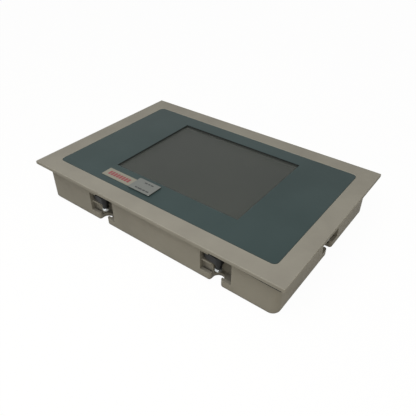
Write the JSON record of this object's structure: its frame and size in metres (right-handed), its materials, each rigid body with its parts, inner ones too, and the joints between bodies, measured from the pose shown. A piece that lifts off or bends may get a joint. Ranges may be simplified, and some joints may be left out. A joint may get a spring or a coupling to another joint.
{
  "type": "panel computer",
  "caption": "Flat built-in panel computer with a wide metal front frame, landscape screen and swing clamps in pockets round its deep rear housing.",
  "frame": {"origin": "centre of the outline of the front frame, on the plane of the housing's back", "axes": "+X along the long side of the screen, +Y to the top of the picture, +Z out of the screen"},
  "size_m": [0.265, 0.175, 0.0414],
  "materials": {
    "frame_paint": "fine satin champagne-grey coat on cast and milled aluminium",
    "film_print": "printed polyester film, fine matt grain",
    "black_seal": "black foam rubber",
    "screen_glass": "anti-glare touch glass",
    "cell_glass": "dark display cell",
    "steel_sheet": "tinned or zinc-plated sheet steel",
    "tray_plastic": "white moulded tray",
    "zinc_steel": "bright zinc-plated steel",
    "strip_foil": "satin foil strip",
    "tag_metal": "satin aluminium plate",
    "green_plastic": "moulded polyamide",
    "brass_stud": "nickel-plated brass",
    "board_laminate": "glass-epoxy laminate with green mask",
    "sink_aluminium": "extruded aluminium",
    "black_plastic": "moulded plastic",
    "flex_film": "polyimide flat cable",
    "lever_black": "black-coated zinc casting"
  },
  "bodies": {
    "root": {"front_frame": "frame_paint", "rear_housing": "frame_paint", "rear_cover": "frame_paint", "front_film": "film_print", "window_seal": "black_seal", "display_gasket": "black_seal", "flange_seal": "black_seal", "tag_pad": "black_seal", "touch_screen": "screen_glass", "display_cell": "cell_glass", "display_bezel": "steel_sheet", "display_bracket": "steel_sheet", "connector_plate": "steel_sheet", "serial_socket": "steel_sheet", "lan_sockets": "steel_sheet", "usb_sockets": "steel_sheet", "serial_locks": "steel_sheet", "display_backlight": "tray_plastic", "display_screws": "zinc_steel", "bracket_screws": "zinc_steel", "frame_standoffs": "zinc_steel", "housing_screws": "zinc_steel", "cover_screws": "zinc_steel", "plate_screws": "zinc_steel", "clamp_studs": "zinc_steel", "board_spacers": "zinc_steel", "board_screws": "zinc_steel", "coin_cell": "zinc_steel", "name_strip": "strip_foil", "tag_plate": "tag_metal", "power_socket": "green_plastic", "earth_terminal": "brass_stud", "main_board": "board_laminate", "memory_module": "board_laminate", "backlight_inverter": "board_laminate", "heat_sink": "sink_aluminium", "memory_socket": "black_plastic", "card_slot": "black_plastic", "battery_holder": "black_plastic", "memory_card": "black_plastic", "touch_tail": "flex_film", "display_ribbon": "flex_film"},
    "clamp_1_bush": {"clamp_bush_1": "lever_black"},
    "clamp_1_nut": {"clamp_nut_1": "zinc_steel"},
    "clamp_1_lever": {"clamp_lever_1": "lever_black"},
    "clamp_2_bush": {"clamp_bush_2": "lever_black"},
    "clamp_2_nut": {"clamp_nut_2": "zinc_steel"},
    "clamp_2_lever": {"clamp_lever_2": "lever_black"},
    "clamp_3_bush": {"clamp_bush_3": "lever_black"},
    "clamp_3_nut": {"clamp_nut_3": "zinc_steel"},
    "clamp_3_lever": {"clamp_lever_3": "lever_black"},
    "clamp_4_bush": {"clamp_bush_4": "lever_black"},
    "clamp_4_nut": {"clamp_nut_4": "zinc_steel"},
    "clamp_4_lever": {"clamp_lever_4": "lever_black"},
    "clamp_5_bush": {"clamp_bush_5": "lever_black"},
    "clamp_5_nut": {"clamp_nut_5": "zinc_steel"},
    "clamp_5_lever": {"clamp_lever_5": "lever_black"},
    "clamp_6_bush": {"clamp_bush_6": "lever_black"},
    "clamp_6_nut": {"clamp_nut_6": "zinc_steel"},
    "clamp_6_lever": {"clamp_lever_6": "lever_black"}
  },
  "joints": [
    {"name": "clamp_1_draw", "type": "slide", "parent": "root", "child": "clamp_1_bush", "axis": [0, 0, 1], "range_m": [0, 0.008]},
    {"name": "clamp_1_nut_turn", "type": "hinge", "parent": "clamp_1_bush", "child": "clamp_1_nut", "pos_m": [-0.0543, -0.0759, 0.02], "axis": [0, 0, 1], "range_deg": [0, 5760]},
    {"name": "clamp_1_lever_swing", "type": "hinge", "parent": "clamp_1_bush", "child": "clamp_1_lever", "pos_m": [-0.0543, -0.0759, 0.02], "axis": [0, 0, 1], "range_deg": [0, 90]},
    {"name": "clamp_2_draw", "type": "slide", "parent": "root", "child": "clamp_2_bush", "axis": [0, 0, 1], "range_m": [0, 0.008]},
    {"name": "clamp_2_nut_turn", "type": "hinge", "parent": "clamp_2_bush", "child": "clamp_2_nut", "pos_m": [0.0713, -0.0759, 0.02], "axis": [0, 0, 1], "range_deg": [0, 5760]},
    {"name": "clamp_2_lever_swing", "type": "hinge", "parent": "clamp_2_bush", "child": "clamp_2_lever", "pos_m": [0.0713, -0.0759, 0.02], "axis": [0, 0, 1], "range_deg": [0, 90]},
    {"name": "clamp_3_draw", "type": "slide", "parent": "root", "child": "clamp_3_bush", "axis": [0, 0, 1], "range_m": [0, 0.008]},
    {"name": "clamp_3_nut_turn", "type": "hinge", "parent": "clamp_3_bush", "child": "clamp_3_nut", "pos_m": [0.1209, 0.007, 0.02], "axis": [0, 0, 1], "range_deg": [0, 5760]},
    {"name": "clamp_3_lever_swing", "type": "hinge", "parent": "clamp_3_bush", "child": "clamp_3_lever", "pos_m": [0.1209, 0.007, 0.02], "axis": [0, 0, 1], "range_deg": [0, 90]},
    {"name": "clamp_4_draw", "type": "slide", "parent": "root", "child": "clamp_4_bush", "axis": [0, 0, 1], "range_m": [0, 0.008]},
    {"name": "clamp_4_nut_turn", "type": "hinge", "parent": "clamp_4_bush", "child": "clamp_4_nut", "pos_m": [0.0713, 0.0759, 0.02], "axis": [0, 0, 1], "range_deg": [0, 5760]},
    {"name": "clamp_4_lever_swing", "type": "hinge", "parent": "clamp_4_bush", "child": "clamp_4_lever", "pos_m": [0.0713, 0.0759, 0.02], "axis": [0, 0, 1], "range_deg": [0, 90]},
    {"name": "clamp_5_draw", "type": "slide", "parent": "root", "child": "clamp_5_bush", "axis": [0, 0, 1], "range_m": [0, 0.008]},
    {"name": "clamp_5_nut_turn", "type": "hinge", "parent": "clamp_5_bush", "child": "clamp_5_nut", "pos_m": [-0.0543, 0.0759, 0.02], "axis": [0, 0, 1], "range_deg": [0, 5760]},
    {"name": "clamp_5_lever_swing", "type": "hinge", "parent": "clamp_5_bush", "child": "clamp_5_lever", "pos_m": [-0.0543, 0.0759, 0.02], "axis": [0, 0, 1], "range_deg": [0, 90]},
    {"name": "clamp_6_draw", "type": "slide", "parent": "root", "child": "clamp_6_bush", "axis": [0, 0, 1], "range_m": [0, 0.008]},
    {"name": "clamp_6_nut_turn", "type": "hinge", "parent": "clamp_6_bush", "child": "clamp_6_nut", "pos_m": [-0.1209, 0.007, 0.02], "axis": [0, 0, 1], "range_deg": [0, 5760]},
    {"name": "clamp_6_lever_swing", "type": "hinge", "parent": "clamp_6_bush", "child": "clamp_6_lever", "pos_m": [-0.1209, 0.007, 0.02], "axis": [0, 0, 1], "range_deg": [0, 90]}
  ],
  "couplings": [
    {"joint": "clamp_1_nut_turn", "follows": "clamp_1_draw", "rad_per_m": 12566},
    {"joint": "clamp_2_nut_turn", "follows": "clamp_2_draw", "rad_per_m": 12566},
    {"joint": "clamp_3_nut_turn", "follows": "clamp_3_draw", "rad_per_m": 12566},
    {"joint": "clamp_4_nut_turn", "follows": "clamp_4_draw", "rad_per_m": 12566},
    {"joint": "clamp_5_nut_turn", "follows": "clamp_5_draw", "rad_per_m": 12566},
    {"joint": "clamp_6_nut_turn", "follows": "clamp_6_draw", "rad_per_m": 12566}
  ]
}
